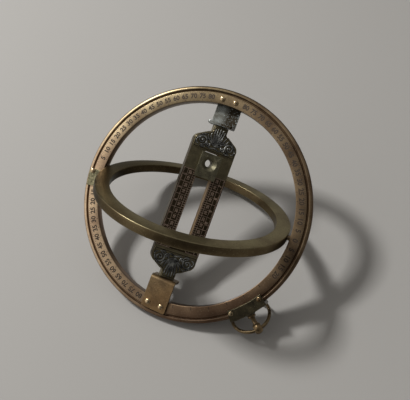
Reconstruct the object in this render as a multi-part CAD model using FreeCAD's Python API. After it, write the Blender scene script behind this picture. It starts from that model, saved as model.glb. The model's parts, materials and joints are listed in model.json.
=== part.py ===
import FreeCAD, Part
import math
import os

V = FreeCAD.Vector

# Universal ring dial in brass, at rest on a table as photographed.
# Every piece is drawn in the dial's own axes and then laid down on the table:
# X is the hour ring's pivot axis, Z the polar axis, +Y goes out of the back of the meridian ring.
# Sizes are in millimetres, angles in degrees.

# Meridian ring, the outer ring that hangs upright in use
meridian_outer_radius = 35.0
meridian_width = 4.8
meridian_thickness = 3.0
meridian_rim_chamfer = 0.35
meridian_bore_chamfer = 0.15
groove_inset = 1.4
groove_width = 0.7
groove_depth = 0.6

# Hour ring, folded inside the meridian ring or opened across it
fold_clearance = 0.7
hour_width = 4.3
hour_thickness = 2.6
hour_edge_chamfer = 0.12
hour_opening = 109.4

# Pins that the hour ring turns on
hour_pin_radius = 0.75
hour_pin_depth = 2.3
hour_pin_end_gap = 0.3
hour_pin_recess = 0.12

# Clearances
pressed_clearance = 0.01
turning_clearance = 0.05
sliding_clearance = 0.06

# Riveted sheet angles that carry the bridge
sheet_thickness = 0.8
bracket_half_width = 3.8
bracket_rim_inset = 1.3
bracket_bend_radius = 1.2
bracket_corner_radius = 0.5
shelf_half_depth = 2.3
shelf_clearance = 0.35

# Domed rivets of the two angles
rivet_radius = 0.55
rivet_head_radius = 0.85
rivet_head_height = 0.5
rivet_bore_inset = 1.6
rivet_half_spacing = 2.1

# Stop beside the left pivot, which the opened hour ring rests on
stop_thickness = 0.6
stop_bore_inset = 0.5
stop_rim_inset = 0.7
stop_upper_angle = 182.2
stop_lower_angle = 191.3
stop_lug_width = 2.0
stop_lug_height = 2.4
stop_lug_root = 1.0
stop_lug_step = 0.4
stop_lug_clearance = 0.03
stop_rivet_drop = 2.0
stop_rivet_rim_inset = 1.7

# Bridge, the cast frame across the polar axis
bridge_turn = 29.5
bridge_half_width = 6.85
bridge_thickness = 2.6
bridge_end_play = 0.15
bridge_neck_half_width = 2.2
bridge_neck_height = 2.3
bridge_shoulder_rise = 1.5
bridge_corner_drop = 2.4
bridge_end_height = 5.9
bridge_end_raise = 0.25
bridge_end_inset = 0.3
slot_half_width = 2.4
slot_top_land = 5.9
slot_bottom_land = 8.5
slot_corner_radius = 0.5

# Pins that the bridge turns on
pole_pin_radius = 0.6
pole_pin_depth = 1.5
pole_pin_end_gap = 0.2

# Slider with the pinhole
slider_height = 7.6
slider_front_half_width = 3.15
slider_back_half_width = 3.9
slider_plate_thickness = 0.8
slider_tongue_height = 7.0
slider_pinhole_above_middle = 0.8
slider_top_gap = 0.6
pinhole_radius = 0.95
pinhole_mouth_radius = 1.95
pinhole_mouth_depth = 0.9
slider_rivet_radius = 0.3
slider_rivet_side = 1.75
slider_rivet_rise = 2.75

# Bowed leaves that keep the slider where it is put
leaf_thickness = 0.12
leaf_bow = 0.22
leaf_width = 1.3
leaf_length = 6.4

# Saddle that slides on the rim and hangs the dial
saddle_angle = -41.5
saddle_half_angle = 9.2
saddle_cheek_reach = 2.4
saddle_cheek_thickness = 0.9
saddle_crown_thickness = 0.8
saddle_rim_clearance = 0.15
saddle_side_clearance = 0.1
saddle_edge_chamfer = 0.2
boss_radius = 1.6
boss_height = 0.3

# Domed pins of the saddle, whose tips run in the grooves
guide_pin_angle = 7.65
guide_pin_radius = 0.4
guide_tip_radius = 0.28
guide_head_radius = 0.75
guide_head_height = 0.45
guide_tip_gap = 0.12

# Swivel, which turns in the saddle and holds the ring
swivel_turn = 14.5
swivel_stem_radius = 0.55
swivel_head_radius = 0.85
swivel_head_thickness = 0.3
swivel_pocket_radius = 1.0
swivel_washer_thickness = 0.15
swivel_collar_radius = 1.25
swivel_collar_height = 0.7
swivel_neck_radius = 0.7
swivel_neck_length = 1.7
swivel_ball_radius = 1.6
swivel_eye_radius = 0.9
swivel_eye_mouth_radius = 1.3
swivel_eye_land = 0.45

# Suspension ring of round wire
suspension_radius = 5.6
suspension_wire_radius = 0.5
suspension_eye_play = 0.36
suspension_table_gap = 0.02

# How the dial lies: rolled to the side that the suspension weighs down
side_lean = 0.8

# Sizes that follow from the ones above
meridian_inner_radius = meridian_outer_radius - meridian_width
meridian_face = meridian_thickness / 2
groove_radius = meridian_outer_radius - groove_inset
bracket_reach_radius = meridian_outer_radius - bracket_rim_inset
rivet_circle_radius = meridian_inner_radius + rivet_bore_inset
stop_inner_radius = meridian_inner_radius + stop_bore_inset
stop_outer_radius = meridian_outer_radius - stop_rim_inset
stop_rivet_circle_radius = meridian_outer_radius - stop_rivet_rim_inset
saddle_cheek_inner_radius = meridian_outer_radius - saddle_cheek_reach
hour_outer_radius = meridian_inner_radius - fold_clearance
hour_inner_radius = hour_outer_radius - hour_width
hour_tilt = hour_opening - 90
shelf_outer = math.sqrt(hour_inner_radius ** 2 - bracket_half_width ** 2) - shelf_clearance
shelf_inner = shelf_outer - sheet_thickness
bridge_end = shelf_inner - bridge_end_play
bridge_shoulder = bridge_end - bridge_neck_height
bridge_corner = bridge_shoulder - bridge_shoulder_rise
bridge_side_top = bridge_corner - bridge_corner_drop
bridge_face = bridge_thickness / 2
slot_top = bridge_shoulder - slot_top_land
slot_bottom = slot_bottom_land - bridge_shoulder
slider_middle = slot_top - slider_top_gap - slider_tongue_height / 2
slider_back_gap = leaf_bow + leaf_thickness + 0.03
saddle_crown_inner = meridian_outer_radius + saddle_rim_clearance
saddle_crown_outer = saddle_crown_inner + saddle_crown_thickness
saddle_cheek_inside = meridian_face + saddle_side_clearance
saddle_cheek_outside = saddle_cheek_inside + saddle_cheek_thickness
boss_top = saddle_crown_outer + boss_height
swivel_ball_centre = (boss_top + turning_clearance + swivel_collar_height + swivel_neck_length
                      + swivel_ball_radius)


def flat(points, depth):
    """A prism on the XY plane. A point is (x, y), or (x, y, mx, my) for an arc through (mx, my)."""
    edges = []
    last = V(points[-1][0], points[-1][1], 0)
    for point in points:
        here = V(point[0], point[1], 0)
        if len(point) == 4:
            edges.append(Part.Arc(last, V(point[2], point[3], 0), here).toShape())
        elif last.distanceToPoint(here) > 1e-9:
            edges.append(Part.LineSegment(last, here).toShape())
        last = here
    return Part.Face(Part.Wire(edges)).extrude(V(0, 0, depth))


def turned(points, start=0.0, sweep=360.0):
    """A turned solid about Z from (radius, height) points, with arcs as in flat()."""
    edges = []
    last = V(points[-1][0], 0, points[-1][1])
    for point in points:
        here = V(point[0], 0, point[1])
        if len(point) == 4:
            edges.append(Part.Arc(last, V(point[2], 0, point[3]), here).toShape())
        elif last.distanceToPoint(here) > 1e-9:
            edges.append(Part.LineSegment(last, here).toShape())
        last = here
    solid = Part.Face(Part.Wire(edges)).revolve(V(0, 0, 0), V(0, 0, 1), sweep)
    solid.rotate(V(0, 0, 0), V(0, 0, 1), start)
    return solid


def seated(shape, origin, x_axis, y_axis):
    """Moves a piece from its drawing axes to an origin and two axes of the dial."""
    z_axis = x_axis.cross(y_axis)
    matrix = FreeCAD.Matrix(x_axis.x, y_axis.x, z_axis.x, origin.x,
                            x_axis.y, y_axis.y, z_axis.y, origin.y,
                            x_axis.z, y_axis.z, z_axis.z, origin.z,
                            0, 0, 0, 1)
    moved = shape.copy()
    moved.Placement = FreeCAD.Placement(matrix).multiply(moved.Placement)
    return moved


X_AXIS, Y_AXIS, Z_AXIS = V(1, 0, 0), V(0, 1, 0), V(0, 0, 1)
CENTRE = V(0, 0, 0)


def rod(radius, start, end):
    """A round bar from one point to another."""
    along = end - start
    return Part.makeCylinder(radius, along.Length, start, along)


def dome(base_radius, height, base, outward):
    """The points of a domed head's outline, from its base at a height to its top on the axis."""
    top = base + outward * height
    sphere = (base_radius ** 2 + height ** 2) / (2 * height)
    middle = math.asin(base_radius / sphere) / 2
    return [(base_radius, base),
            (0, top, sphere * math.sin(middle), top - outward * sphere * (1 - math.cos(middle)))]


def two_headed_rivet(shank_radius, head_radius, head_height, low, high):
    """A rivet along Z, domed at both ends, between two faces at the given heights."""
    upper = dome(head_radius, head_height, high, 1)
    lower = dome(head_radius, head_height, low, -1)
    points = [(shank_radius, low), (shank_radius, high)] + upper
    sphere_point = lower[1]
    points += [(0, lower[1][1]), (head_radius, low, sphere_point[2], sphere_point[3])]
    return turned(points)


def meridian_ring():
    """Flat ring with broken edges, a groove in each face, and holes for pins and rivets."""
    inner, outer, face = meridian_inner_radius, meridian_outer_radius, meridian_face
    rim, bore = meridian_rim_chamfer, meridian_bore_chamfer
    near, far = groove_radius - groove_width / 2, groove_radius + groove_width / 2
    floor = face - groove_depth
    upper = [(inner + bore, face), (near, face), (near, floor), (far, floor), (far, face),
             (outer - rim, face)]
    lower = [(radius, -height) for radius, height in reversed(upper)]
    ring = turned([(inner, face - bore)] + upper + [(outer, face - rim), (outer, rim - face)]
                  + lower + [(inner, bore - face)])
    ring = seated(ring, CENTRE, X_AXIS, -Z_AXIS)
    holes = [rod(hour_pin_radius + pressed_clearance, X_AXIS * side * (inner - 1),
                 X_AXIS * side * (outer + 1)) for side in (-1, 1)]
    holes += [rod(rivet_radius + pressed_clearance, spot - Y_AXIS * meridian_thickness,
                  spot + Y_AXIS * meridian_thickness) for spot in rivet_spots() + [stop_rivet_spot()]]
    return ring.cut(Part.makeCompound(holes))


def rivet_spots():
    """Middles of the four bracket rivets, the lower pair first."""
    height = math.sqrt(rivet_circle_radius ** 2 - rivet_half_spacing ** 2)
    return [V(side * rivet_half_spacing, 0, end * height) for end in (-1, 1) for side in (-1, 1)]


def stop_rivet_spot():
    """Middle of the rivet that holds the stop."""
    return V(-math.sqrt(stop_rivet_circle_radius ** 2 - stop_rivet_drop ** 2), 0, -stop_rivet_drop)


def lower_bracket():
    """Sheet angle on the front face, bent back to a shelf under the bridge."""
    face, bend, sheet = meridian_face, bracket_bend_radius, sheet_thickness
    front = -face - sheet
    reach = math.sqrt(bracket_reach_radius ** 2 - bracket_half_width ** 2)
    turn = bend * (1 - math.sqrt(0.5))
    inner_bend = bend - sheet
    inner_turn = inner_bend * (1 - math.sqrt(0.5))
    angle = flat([(front, -reach), (front, -shelf_inner - bend),
                  (front + bend, -shelf_inner, front + turn, -shelf_inner - turn),
                  (shelf_half_depth, -shelf_inner), (shelf_half_depth, -shelf_outer),
                  (front + bend, -shelf_outer),
                  (-face, -shelf_outer - inner_bend, -face + inner_turn, -shelf_outer - inner_turn),
                  (-face, -reach)], 2 * bracket_half_width)
    angle = seated(angle, X_AXIS * -bracket_half_width, Y_AXIS, Z_AXIS)
    corners = [edge for edge in angle.Edges
               if abs(edge.BoundBox.ZMax + reach) < 1e-6 and edge.BoundBox.YLength > sheet / 2]
    corners += [edge for edge in angle.Edges
                if abs(edge.BoundBox.YMin - shelf_half_depth) < 1e-6 and edge.BoundBox.ZLength > sheet / 2]
    angle = angle.makeFillet(bracket_corner_radius, corners)
    holes = [rod(rivet_radius + pressed_clearance, spot - Y_AXIS * 5, spot) for spot in rivet_spots()[:2]]
    holes.append(rod(pole_pin_radius + pressed_clearance, Z_AXIS * -(shelf_outer + 1),
                     Z_AXIS * -(shelf_inner - 1)))
    return angle.cut(Part.makeCompound(holes))


def upper_bracket():
    """The same angle on the back face, turned over about the pivot axis."""
    angle = lower_bracket()
    angle.rotate(CENTRE, X_AXIS, 180)
    return angle


def bracket_rivets(upper):
    """The pair of rivets of one bracket, through its sheet and the ring."""
    front, back = -meridian_face, meridian_face
    if upper:
        back += sheet_thickness
    else:
        front -= sheet_thickness
    rivet = two_headed_rivet(rivet_radius, rivet_head_radius, rivet_head_height, -back, -front)
    spots = rivet_spots()[2:] if upper else rivet_spots()[:2]
    return Part.makeCompound([seated(rivet, spot, X_AXIS, Z_AXIS) for spot in spots])


def hour_ring():
    """Square-edged ring, bored from outside for its two pins, opened past the square."""
    inner, outer, half, edge = hour_inner_radius, hour_outer_radius, hour_thickness / 2, hour_edge_chamfer
    ring = turned([(inner, edge - half), (inner, half - edge), (inner + edge, half), (outer - edge, half),
                   (outer, half - edge), (outer, edge - half), (outer - edge, -half), (inner + edge, -half)])
    bores = [rod(hour_pin_radius + turning_clearance,
                 X_AXIS * side * (outer - hour_pin_depth - hour_pin_end_gap),
                 X_AXIS * side * (outer + 1)) for side in (-1, 1)]
    ring = ring.cut(Part.makeCompound(bores))
    ring.rotate(CENTRE, X_AXIS, hour_tilt)
    return ring


def hour_pivot_pins():
    """Two plain pins pressed in the meridian ring, their tips in the hour ring."""
    tip = hour_outer_radius - hour_pin_depth
    head = meridian_outer_radius - hour_pin_recess
    return Part.makeCompound([rod(hour_pin_radius, X_AXIS * side * tip, X_AXIS * side * head)
                              for side in (-1, 1)])


def hour_ring_stop():
    """Small plate on the front face with a lug that reaches under the hour ring."""
    upper, lower = math.radians(stop_upper_angle), math.radians(stop_lower_angle)
    middle = (upper + lower) / 2
    inner, outer = stop_inner_radius, stop_outer_radius

    def at(radius, angle):
        return (radius * math.cos(angle), radius * math.sin(angle))

    plate = flat([at(inner, upper), at(outer, upper), at(outer, lower) + at(outer, middle),
                  at(inner, lower), at(inner, upper) + at(inner, middle)], stop_thickness)
    tilt = math.radians(hour_tilt)
    contact = -hour_thickness / 2 / math.cos(tilt) - (meridian_face + stop_thickness) * math.tan(tilt)
    lug_top = contact - stop_lug_clearance
    root = -inner - stop_lug_root
    low = lug_top - stop_lug_height
    lug = flat([(root, lug_top), (root, low), (-inner + stop_lug_step, low),
                (-inner + stop_lug_width, lug_top - stop_lug_height * 0.4), (-inner + stop_lug_width, lug_top)],
               stop_thickness)
    stop = plate.fuse(lug).removeSplitter()
    stop = seated(stop, Y_AXIS * -meridian_face, X_AXIS, Z_AXIS)
    spot = stop_rivet_spot()
    return stop.cut(rod(rivet_radius + pressed_clearance, spot - Y_AXIS * 5, spot)).Solids[0]


def stop_rivet():
    """Rivet of the stop, domed at both ends."""
    rivet = two_headed_rivet(rivet_radius, rivet_head_radius, rivet_head_height,
                             -meridian_face, meridian_face + stop_thickness)
    return seated(rivet, stop_rivet_spot(), X_AXIS, Z_AXIS)


def pole_pivot_pins():
    """Two plain pins pressed in the shelves, their tips in the bridge."""
    tip = bridge_end - pole_pin_depth
    return Part.makeCompound([rod(pole_pin_radius, Z_AXIS * side * tip, Z_AXIS * side * shelf_outer)
                              for side in (-1, 1)])


def bridge_outline(inset, bottom):
    """Upper half of the bridge's outline, drawn in by an inset, down to a given height."""
    side = bridge_half_width - inset
    neck = bridge_neck_half_width - inset
    corner_x = side - 0.55 * bridge_corner_drop
    knee = 0.75 * bridge_corner_drop
    right = [(side, bottom), (side, bridge_side_top),
             (corner_x, bridge_corner, side - 0.12 * bridge_corner_drop, bridge_corner - knee / 2),
             (neck + 0.9, bridge_shoulder - inset),
             (neck, bridge_shoulder + 0.7, neck + 0.25, bridge_shoulder + 0.15)]
    return right, neck


def bridge():
    """Cast frame with a slot, raised ornament fields at both ends, bored for its pins."""
    right, neck = bridge_outline(0, 0)
    half = right + [(neck, bridge_end), (-neck, bridge_end)] + mirrored(right)
    plate = flat(half, bridge_thickness)
    plate.translate(V(0, 0, -bridge_face))
    lower = plate.copy()
    lower.rotate(CENTRE, X_AXIS, 180)
    frame = plate.fuse(lower).removeSplitter()
    low = bridge_corner + bridge_shoulder_rise - bridge_end_height + bridge_end_raise
    field_right, field_neck = bridge_outline(bridge_end_inset, low)
    top = bridge_end - bridge_end_inset
    field = flat(field_right + [(field_neck, top), (-field_neck, top)] + mirrored(field_right),
                 bridge_thickness + 2 * bridge_end_raise)
    field.translate(V(0, 0, -bridge_face - bridge_end_raise))
    other = field.copy()
    other.rotate(CENTRE, X_AXIS, 180)
    frame = frame.fuse([field, other]).removeSplitter()
    slot = Part.makeBox(2 * slot_half_width, slot_top - slot_bottom, bridge_thickness * 2,
                        V(-slot_half_width, slot_bottom, -bridge_thickness))
    slot = slot.makeFillet(slot_corner_radius, [edge for edge in slot.Edges
                                                if edge.BoundBox.ZLength > bridge_thickness])
    bores = [rod(pole_pin_radius + turning_clearance, Y_AXIS * end * (bridge_end - pole_pin_depth - pole_pin_end_gap),
                 Y_AXIS * end * (bridge_end + 1)) for end in (-1, 1)]
    return on_bridge(frame.cut(Part.makeCompound([slot] + bores)))


def mirrored(right):
    """The left side of an outline from its right side, in running order."""
    left = []
    for before, point in zip(right, right[1:]):
        start = (-before[0], before[1])
        left.append(start + (-point[2], point[3]) if len(point) == 4 else start)
    return [(-right[-1][0], right[-1][1])] + left[::-1]


def bridge_axes():
    """Across the bridge and out of its front, at the turn it is left in."""
    turn = math.radians(bridge_turn)
    return V(math.cos(turn), math.sin(turn), 0), V(math.sin(turn), -math.cos(turn), 0)


def on_bridge(shape):
    """Seats a piece drawn with X across the bridge, Y along the polar axis and Z to the front."""
    return seated(shape, CENTRE, bridge_axes()[0], Z_AXIS)


def slider_plate(half_width, height, thickness):
    """Plain rectangular plate about the slider's middle."""
    return Part.makeBox(2 * half_width, height, thickness, V(-half_width, slider_middle - height / 2, 0))


def slider_holes():
    """Pinhole and rivet holes of the slider, with the pinhole's cone at front and back."""
    eye = V(0, slider_middle + slider_pinhole_above_middle, 0)
    front = bridge_face + sliding_clearance + slider_plate_thickness
    back = -bridge_face - slider_back_gap - slider_plate_thickness
    holes = [rod(pinhole_radius, eye + Z_AXIS * (back - 1), eye + Z_AXIS * (front + 1))]
    holes.append(Part.makeCone(pinhole_radius, pinhole_mouth_radius, pinhole_mouth_depth,
                               eye + Z_AXIS * (front - pinhole_mouth_depth), Z_AXIS))
    holes.append(Part.makeCone(pinhole_radius, pinhole_mouth_radius, pinhole_mouth_depth,
                               eye + Z_AXIS * (back + pinhole_mouth_depth), -Z_AXIS))
    for spot in slider_rivet_spots():
        holes.append(rod(slider_rivet_radius + pressed_clearance, spot + Z_AXIS * (back - 1),
                         spot + Z_AXIS * (front + 1)))
    return Part.makeCompound(holes)


def slider_rivet_spots():
    """Middles of the slider's four rivets."""
    return [V(side * slider_rivet_side, slider_middle + rise * slider_rivet_rise, 0)
            for side in (-1, 1) for rise in (-1, 1)]


def slider_front():
    """Front plate with the tongue that fills the slot."""
    plate = slider_plate(slider_front_half_width, slider_height, slider_plate_thickness)
    plate.translate(Z_AXIS * (bridge_face + sliding_clearance))
    back = -bridge_face - slider_back_gap
    tongue = slider_plate(slot_half_width - sliding_clearance, slider_tongue_height,
                          bridge_face + sliding_clearance - back)
    tongue.translate(Z_AXIS * back)
    return on_bridge(plate.fuse(tongue).removeSplitter().cut(slider_holes()).Solids[0])


def slider_back():
    """Back plate, riveted to the tongue."""
    plate = slider_plate(slider_back_half_width, slider_height, slider_plate_thickness)
    plate.translate(Z_AXIS * (-bridge_face - slider_back_gap - slider_plate_thickness))
    return on_bridge(plate.cut(slider_holes()).Solids[0])


def slider_rivets():
    """Four flush rivets through the slider."""
    front = bridge_face + sliding_clearance + slider_plate_thickness
    back = -bridge_face - slider_back_gap - slider_plate_thickness
    return on_bridge(Part.makeCompound([rod(slider_rivet_radius, spot + Z_AXIS * back, spot + Z_AXIS * front)
                                        for spot in slider_rivet_spots()]))


def slider_leaves():
    """Two bowed leaves between the back plate and the rails."""
    half = leaf_length / 2
    middle = (slot_half_width + slider_back_half_width) / 2
    seat = -bridge_face - slider_back_gap
    leaf = flat([(-half, leaf_bow), (-half, leaf_bow + leaf_thickness),
                 (half, leaf_bow + leaf_thickness, 0, leaf_thickness),
                 (half, leaf_bow), (-half, leaf_bow, 0, 0)], leaf_width)
    leaves = [seated(leaf, V(side * middle - leaf_width / 2, slider_middle, seat), Y_AXIS, Z_AXIS)
              for side in (-1, 1)]
    return on_bridge(Part.makeCompound(leaves))


def on_rim(shape):
    """Turns a piece drawn at the right-hand pivot round the rim to the saddle's place."""
    moved = shape.copy()
    moved.rotate(CENTRE, Y_AXIS, -saddle_angle)
    return moved


def on_swivel(shape):
    """Turns a piece drawn straight at the right-hand pivot with the swivel, then round the rim."""
    moved = shape.copy()
    moved.rotate(CENTRE, X_AXIS, -swivel_turn)
    return on_rim(moved)


def suspension_saddle():
    """Clip over the rim with a cheek on each face and a boss for the swivel."""
    low, top, edge = saddle_cheek_inner_radius, saddle_crown_outer, saddle_edge_chamfer
    inside, outside = saddle_cheek_inside, saddle_cheek_outside
    half = [(low, inside), (low, outside - edge), (low + edge, outside), (top - edge, outside),
            (top, outside - edge)]
    clip = turned([(saddle_crown_inner, inside)] + half + [(radius, -height) for radius, height in reversed(half)]
                  + [(saddle_crown_inner, -inside)], -saddle_half_angle, 2 * saddle_half_angle)
    clip = seated(clip, CENTRE, X_AXIS, -Z_AXIS)
    boss = Part.makeCone(boss_radius + 0.35, boss_radius - 0.25, boss_top - saddle_crown_outer + 0.4,
                         X_AXIS * (saddle_crown_outer - 0.4), X_AXIS)
    clip = clip.fuse(boss).removeSplitter()
    pocket_floor = swivel_seat() + swivel_washer_thickness + turning_clearance
    holes = [rod(swivel_stem_radius + turning_clearance, X_AXIS * meridian_outer_radius, X_AXIS * (boss_top + 1)),
             rod(swivel_pocket_radius, X_AXIS * meridian_outer_radius, X_AXIS * pocket_floor)]
    holes += [rod(guide_pin_radius + pressed_clearance, spot, spot + spot_out * 5)
              for spot, spot_out in guide_pin_seats()]
    return on_rim(clip.cut(Part.makeCompound(holes)).Solids[0])


def guide_pin_seats():
    """Middles and outward directions of the four guide pins, before the saddle is turned to its place."""
    seats = []
    for side in (-1, 1):
        angle = math.radians(side * guide_pin_angle)
        middle = V(groove_radius * math.cos(angle), 0, groove_radius * math.sin(angle))
        seats += [(middle, outward) for outward in (-Y_AXIS, Y_AXIS)]
    return seats


def guide_pins():
    """Four domed pins pressed in the cheeks, with thin tips in the grooves."""
    tip = meridian_face - groove_depth + guide_tip_gap
    head = dome(guide_head_radius, guide_head_height, saddle_cheek_outside, 1)
    pin = turned([(0, tip), (guide_tip_radius, tip), (guide_tip_radius, saddle_cheek_inside),
                  (guide_pin_radius, saddle_cheek_inside), (guide_pin_radius, saddle_cheek_outside)] + head)
    pins = []
    for middle, outward in guide_pin_seats():
        pins.append(on_rim(seated(pin, middle, X_AXIS, outward.cross(X_AXIS))))
    return Part.makeCompound(pins)


def swivel_seat():
    """Height of the washer's underside in the saddle's pocket."""
    return saddle_crown_inner + swivel_head_thickness + 0.08


def swivel_washer():
    """Washer between the swivel's riveted head and the pocket."""
    low = swivel_seat()
    washer = rod(swivel_head_radius + 0.05, X_AXIS * low, X_AXIS * (low + swivel_washer_thickness))
    hole = rod(swivel_stem_radius + turning_clearance, X_AXIS * (low - 1), X_AXIS * (low + 1))
    return on_swivel(washer.cut(hole))


def swivel():
    """Turned stem, collar and ball, with an eye across the ball for the ring."""
    head_low = swivel_seat() - 0.02 - swivel_head_thickness
    head_top = swivel_seat() - 0.02
    collar = boss_top + turning_clearance
    neck = collar + swivel_collar_height
    ball = swivel_ball_centre
    lift = math.sqrt(swivel_ball_radius ** 2 - swivel_neck_radius ** 2)
    stem = turned([(0, head_low), (swivel_head_radius, head_low), (swivel_head_radius, head_top),
                   (swivel_stem_radius, head_top), (swivel_stem_radius, collar), (swivel_collar_radius, collar),
                   (swivel_neck_radius + 0.15, neck, swivel_collar_radius, (collar + neck) / 2),
                   (swivel_neck_radius, ball - lift, swivel_neck_radius - 0.08, (neck + ball - lift) / 2),
                   (0, ball + swivel_ball_radius, swivel_ball_radius, ball)])
    stem = seated(stem, CENTRE, Y_AXIS, Z_AXIS)
    eye = [rod(swivel_eye_radius, V(ball, 0, -swivel_ball_radius * 2), V(ball, 0, swivel_ball_radius * 2))]
    eye += [Part.makeCone(swivel_eye_radius, swivel_eye_mouth_radius, swivel_ball_radius - swivel_eye_land,
                          V(ball, 0, side * swivel_eye_land), Z_AXIS * side) for side in (-1, 1)]
    return on_swivel(stem.cut(Part.makeCompound(eye)).Solids[0])


def rim_height(radius, offset, axis, up):
    """How far a round rim reaches below the dial's centre, for a ring of a given axis."""
    tilt = axis.dot(up)
    return radius * math.sqrt(max(0.0, 1 - tilt * tilt)) + abs(offset * tilt)


def lying_up():
    """Direction of up, in the dial's axes, when both rings touch the table."""
    tilt = math.radians(hour_tilt)
    hour_axis = V(0, -math.sin(tilt), math.cos(tilt))
    lean = math.radians(side_lean)

    def up_at(angle):
        back = V(0, -math.cos(angle), math.sin(angle))
        return back * math.cos(lean) - X_AXIS * math.sin(lean)

    low, high = math.radians(5), math.radians(85)
    for _ in range(60):
        middle = (low + high) / 2
        up = up_at(middle)
        meridian_reach = max(rim_height(meridian_outer_radius, meridian_face - meridian_rim_chamfer, Y_AXIS, up),
                             rim_height(meridian_outer_radius - meridian_rim_chamfer, meridian_face, Y_AXIS, up))
        hour_reach = max(rim_height(hour_outer_radius, hour_thickness / 2 - hour_edge_chamfer, hour_axis, up),
                         rim_height(hour_outer_radius - hour_edge_chamfer, hour_thickness / 2, hour_axis, up))
        if meridian_reach > hour_reach:
            high = middle
        else:
            low = middle
    return up_at((low + high) / 2), meridian_reach


def swivel_direction(along):
    """A direction of the right-hand pivot's axes after the swivel's turn and the saddle's place."""
    turned_along = FreeCAD.Rotation(X_AXIS, -swivel_turn).multVec(along)
    return FreeCAD.Rotation(Y_AXIS, -saddle_angle).multVec(turned_along)


def suspension_place(fold):
    """Centre and axis of the suspension ring at an angle of fold from straight out."""
    fold = math.radians(fold)
    out = swivel_direction(V(math.cos(fold), math.sin(fold), 0))
    eye = swivel_direction(X_AXIS) * (swivel_ball_centre + suspension_eye_play)
    return eye + out * suspension_radius, out.cross(swivel_direction(Z_AXIS))


def suspension_fold():
    """The fold at which the far side of the suspension ring lies on the table."""
    up, height = lying_up()
    low, high = 110, 165
    for _ in range(50):
        middle = (low + high) / 2
        centre, axis = suspension_place(middle)
        reach = rim_height(suspension_radius, 0, axis, up) + suspension_wire_radius
        if height + centre.dot(up) - reach > suspension_table_gap:
            high = middle
        else:
            low = middle
    return (low + high) / 2


def suspension_ring():
    """Wire ring through the swivel's eye, fallen back under the meridian ring."""
    centre, axis = suspension_place(suspension_fold())
    return Part.makeTorus(suspension_radius, suspension_wire_radius, centre, axis)


def table_axes():
    """The table's axes in the dial's axes, and the height of the dial's centre above the table."""
    up, height = lying_up()
    right = X_AXIS - up * up.x
    right.normalize()
    return right, up.cross(right), up, height


def laid_down(shape):
    """Lays a piece from the dial's axes on the table."""
    right, away, up, height = table_axes()
    matrix = FreeCAD.Matrix(right.x, right.y, right.z, 0,
                            away.x, away.y, away.z, 0,
                            up.x, up.y, up.z, height,
                            0, 0, 0, 1)
    moved = shape.copy()
    moved.Placement = FreeCAD.Placement(matrix).multiply(moved.Placement)
    return moved


pieces = {
    "meridian_ring": meridian_ring(),
    "lower_bracket": lower_bracket(),
    "upper_bracket": upper_bracket(),
    "lower_bracket_rivets": bracket_rivets(False),
    "upper_bracket_rivets": bracket_rivets(True),
    "hour_pivot_pins": hour_pivot_pins(),
    "pole_pivot_pins": pole_pivot_pins(),
    "hour_ring_stop": hour_ring_stop(),
    "stop_rivet": stop_rivet(),
    "hour_ring": hour_ring(),
    "bridge": bridge(),
    "slider_front": slider_front(),
    "slider_back": slider_back(),
    "slider_rivets": slider_rivets(),
    "slider_leaves": slider_leaves(),
    "suspension_saddle": suspension_saddle(),
    "guide_pins": guide_pins(),
    "swivel_washer": swivel_washer(),
    "swivel": swivel(),
    "suspension_ring": suspension_ring(),
}

laid = {name: laid_down(shape) for name, shape in pieces.items()}
bounds = Part.makeCompound(list(laid.values())).optimalBoundingBox(False)
to_middle = V(-(bounds.XMin + bounds.XMax) / 2, -(bounds.YMin + bounds.YMax) / 2, -bounds.ZMin)

os.makedirs("parts", exist_ok=True)
for name, shape in laid.items():
    shape.translate(to_middle)
    shape.exportStep(f"parts/{name}.step")
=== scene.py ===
import bpy
import bmesh
import json
import math
import numpy as np
from mathutils import Matrix, Vector


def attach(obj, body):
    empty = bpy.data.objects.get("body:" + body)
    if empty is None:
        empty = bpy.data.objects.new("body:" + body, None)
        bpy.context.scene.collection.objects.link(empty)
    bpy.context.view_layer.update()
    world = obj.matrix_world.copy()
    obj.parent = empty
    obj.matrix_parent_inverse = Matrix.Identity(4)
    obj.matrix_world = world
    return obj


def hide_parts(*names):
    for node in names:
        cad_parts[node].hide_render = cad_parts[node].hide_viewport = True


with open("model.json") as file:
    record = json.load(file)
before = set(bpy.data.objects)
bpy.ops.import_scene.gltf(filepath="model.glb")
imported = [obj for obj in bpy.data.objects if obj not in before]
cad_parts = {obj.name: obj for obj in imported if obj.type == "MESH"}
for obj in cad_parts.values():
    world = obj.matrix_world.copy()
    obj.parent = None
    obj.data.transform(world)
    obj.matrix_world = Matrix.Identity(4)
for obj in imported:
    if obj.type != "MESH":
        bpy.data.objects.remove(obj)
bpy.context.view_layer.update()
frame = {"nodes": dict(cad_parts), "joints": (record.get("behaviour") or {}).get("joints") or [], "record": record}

# Meridian ring. The outer ring, sawn and turned from thick brass plate, with a groove in each
# face that the saddle's pins run in, and lightly rounded lips. Age has dulled it to a pinkish
# brown where hands rub it. Light and shade are painted across it: lighter towards the left edge,
# darker from the middle rightwards, at the top and towards the saddle.
RING_OUTSIDE = 35.0
RING_BORE = 30.2
RING_FACE = 1.5
GROOVE_NEAR, GROOVE_FAR, GROOVE_DEPTH = 33.25, 33.95, 0.6


def dial_axes():
    """The dial's own axes in the row's frame, in millimetres: X along the hour ring's pins,
    Z along the bridge's pins, +Y out of the back of the meridian ring."""
    hinge = {joint["name"]: joint for joint in frame["joints"]}
    across = Vector(hinge["hour_ring_hinge"]["axis"]).normalized()
    polar = Vector(hinge["bridge_hinge"]["axis"]).normalized()
    across = (across - polar * across.dot(polar)).normalized()
    back = polar.cross(across)
    turn = Matrix((across, back, polar)).transposed().to_4x4()
    return Matrix.Translation(hinge["bridge_hinge"]["pos_m"]) @ turn @ Matrix.Scale(0.001, 4)


DIAL = dial_axes()


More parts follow.
